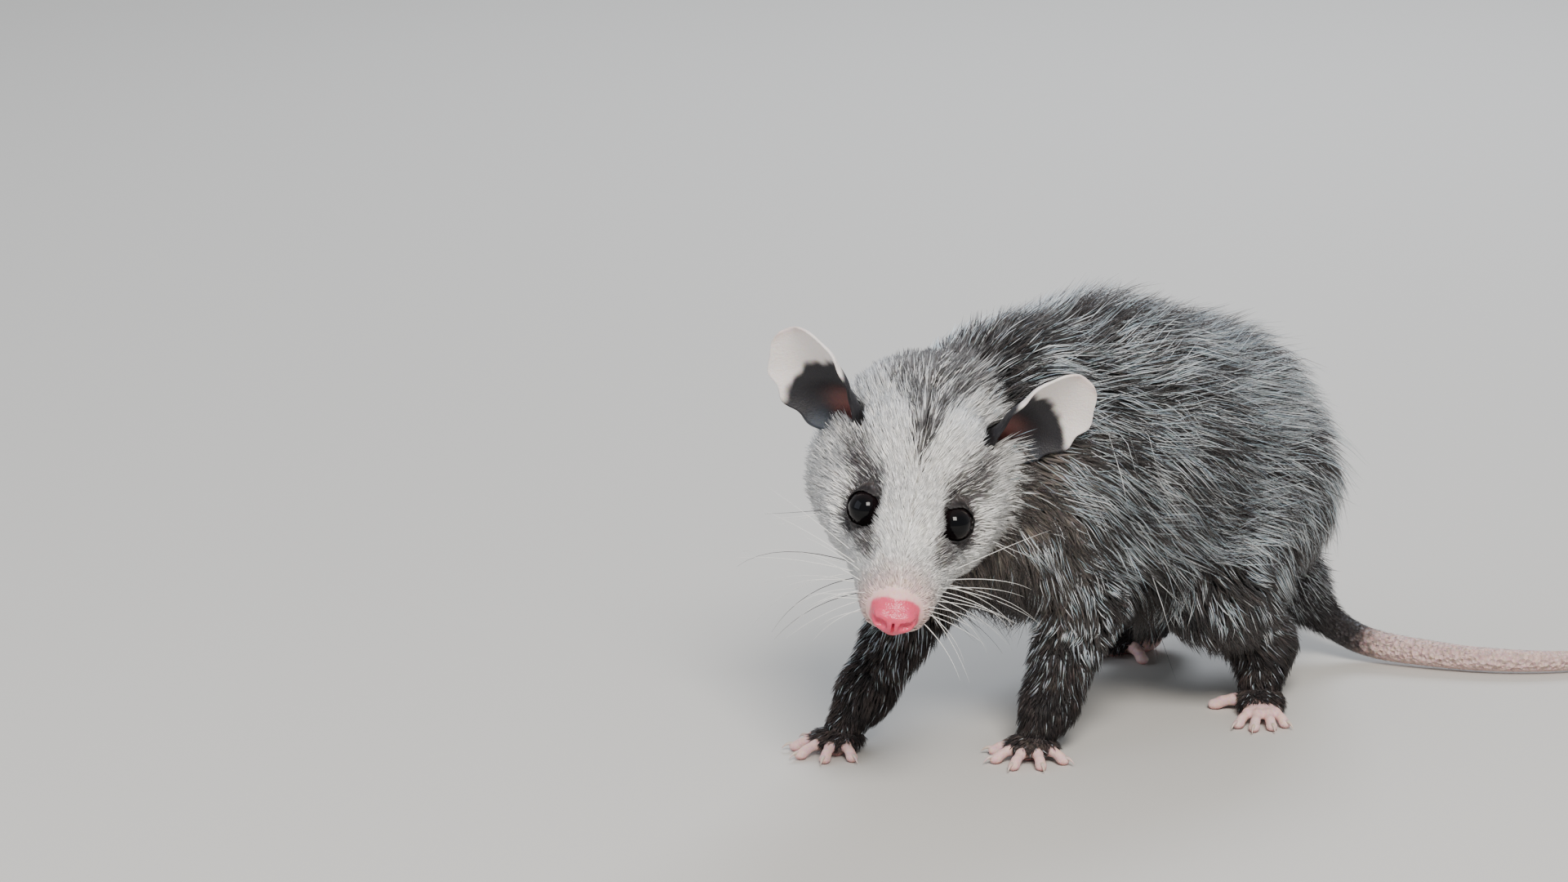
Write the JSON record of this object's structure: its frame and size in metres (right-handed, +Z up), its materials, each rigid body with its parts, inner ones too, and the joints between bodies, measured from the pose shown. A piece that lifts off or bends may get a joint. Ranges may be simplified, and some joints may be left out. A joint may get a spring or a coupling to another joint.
{
  "type": "young virginia opossum",
  "caption": "Young opossum standing on its four feet with its head turned to its left, its furred body hunched and its bare tail laid behind it.",
  "frame": {"origin": "middle of the animal's box at floor level, under the belly", "axes": "+X from head to tail along the body, -Y towards the animal's left side, +Z up"},
  "size_m": [0.2236, 0.1006, 0.1013],
  "materials": {
    "body_fur": "soft fur, dark underneath with long white guard hairs",
    "face_fur": "short soft white fur with dark eye patches and a dark crown stripe",
    "leg_fur": "short dark fur",
    "bare_skin": "soft matte skin",
    "tail_skin": "scaly matte skin, dark at the root",
    "ear_skin": "thin leathery skin, black with a pale rim",
    "nose_skin": "moist fine-grained skin",
    "eye": "glossy and wet"
  },
  "bodies": {
    "root": {"head": "face_fur", "neck": "body_fur", "trunk": "body_fur", "foreleg_left": "leg_fur", "foreleg_right": "leg_fur", "hindleg_left": "leg_fur", "hindleg_right": "leg_fur", "forefoot_left": "bare_skin", "forefoot_right": "bare_skin", "hindfoot_left": "bare_skin", "hindfoot_right": "bare_skin", "tail_root": "tail_skin", "tail_mid": "tail_skin", "tail_tip": "tail_skin", "ear_left": "ear_skin", "ear_right": "ear_skin", "nose": "nose_skin", "eye_left": "eye", "eye_right": "eye"}
  },
  "joints": []
}
